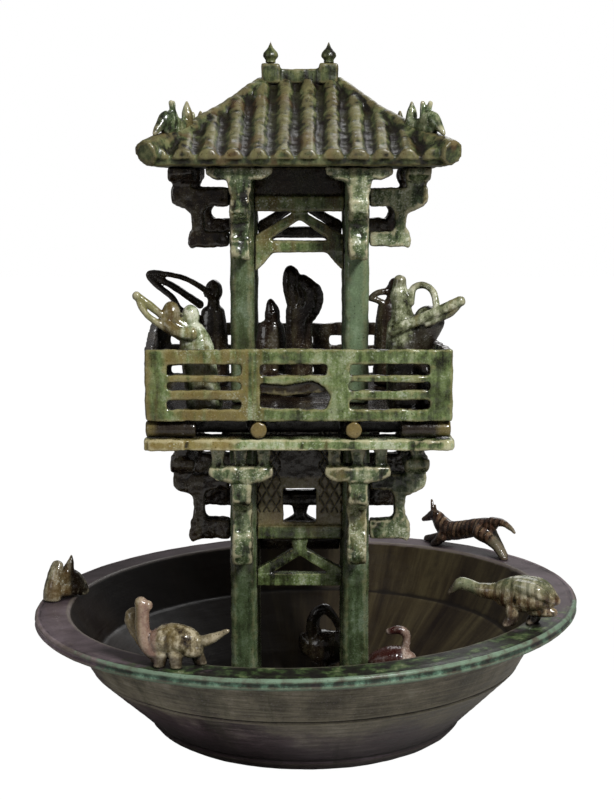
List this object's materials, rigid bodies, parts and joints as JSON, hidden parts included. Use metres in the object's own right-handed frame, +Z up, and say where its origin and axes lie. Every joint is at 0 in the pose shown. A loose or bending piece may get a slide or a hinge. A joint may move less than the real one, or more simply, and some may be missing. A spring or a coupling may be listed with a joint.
{
  "type": "glazed earthenware tower model",
  "caption": "Green lead-glazed earthenware tower standing in a wide basin, with a balcony of archers, bracket sets, a tiled hip roof and animals on the rim.",
  "frame": {"origin": "centre of the basin's foot, on the surface it stands on", "axes": "+Z up through the roof, -Y towards the front of the tower, +X to the right"},
  "size_m": [0.425, 0.425, 0.5345],
  "materials": {
    "green_glaze": "glossy green lead glaze over red clay, pooled darker in hollows",
    "pale_green_glaze": "thin glossy pale green glaze with buff clay showing through",
    "grey_green_glaze": "weathered grey-green glaze, silvery and semi-matt, darker green pools on the rim",
    "dark_glaze": "dark green-black glossy glaze",
    "brown_glaze": "thin brown-green glaze, semi-gloss",
    "buff_clay": "buff to reddish clay with a thin broken glaze, semi-matt"
  },
  "bodies": {
    "basin": {"basin": "grey_green_glaze", "rim_hound": "brown_glaze", "rim_goose": "buff_clay", "rim_tortoise": "buff_clay", "rim_broken_beast": "pale_green_glaze", "pond_goose": "dark_glaze", "pond_duck": "buff_clay"},
    "lower_storey": {"lower_post_front_left": "green_glaze", "lower_post_front_right": "green_glaze", "lower_post_back_right": "green_glaze", "lower_post_back_left": "green_glaze", "lower_wall_front": "green_glaze", "lower_wall_right": "green_glaze", "lower_wall_back": "green_glaze", "lower_wall_left": "green_glaze", "lower_bracket_front_left": "green_glaze", "lower_bracket_front_right": "green_glaze", "lower_bracket_right_front": "green_glaze", "lower_bracket_right_back": "green_glaze", "lower_bracket_back_right": "green_glaze", "lower_bracket_back_left": "green_glaze", "lower_bracket_left_back": "green_glaze", "lower_bracket_left_front": "green_glaze", "balcony_plank_frame": "green_glaze"},
    "upper_storey": {"balcony_floor": "dark_glaze", "balcony_railing_front": "green_glaze", "balcony_railing_right": "green_glaze", "balcony_railing_back": "green_glaze", "balcony_railing_left": "green_glaze", "upper_post_front_left": "green_glaze", "upper_post_front_right": "green_glaze", "upper_post_back_right": "green_glaze", "upper_post_back_left": "green_glaze", "upper_wall_front": "green_glaze", "upper_wall_right": "green_glaze", "upper_wall_back": "green_glaze", "upper_wall_left": "green_glaze", "upper_bracket_front_left": "green_glaze", "upper_bracket_front_right": "green_glaze", "upper_bracket_right_front": "green_glaze", "upper_bracket_right_back": "green_glaze", "upper_bracket_back_right": "green_glaze", "upper_bracket_back_left": "green_glaze", "upper_bracket_left_back": "green_glaze", "upper_bracket_left_front": "green_glaze", "archer_front_left": "pale_green_glaze", "archer_back_left": "dark_glaze", "archer_front_right": "pale_green_glaze", "archer_back_right": "dark_glaze", "figure_seated": "dark_glaze", "figure_standing": "dark_glaze"},
    "roof": {"roof_tiled": "green_glaze", "roof_ridge": "green_glaze", "ridge_bud_left": "green_glaze", "ridge_bud_right": "green_glaze", "hip_beast_front_left": "green_glaze", "hip_beast_front_right": "green_glaze", "hip_beast_back_right": "green_glaze", "hip_beast_back_left": "green_glaze"}
  },
  "joints": [
    {"name": "tower_lift", "type": "slide", "parent": "basin", "child": "lower_storey", "axis": [0, 0, 1], "range_m": [0, 0.13]},
    {"name": "upper_storey_lift", "type": "slide", "parent": "lower_storey", "child": "upper_storey", "axis": [0, 0, 1], "range_m": [0, 0.07]},
    {"name": "roof_lift", "type": "slide", "parent": "upper_storey", "child": "roof", "axis": [0, 0, 1], "range_m": [0, 0.08]}
  ]
}
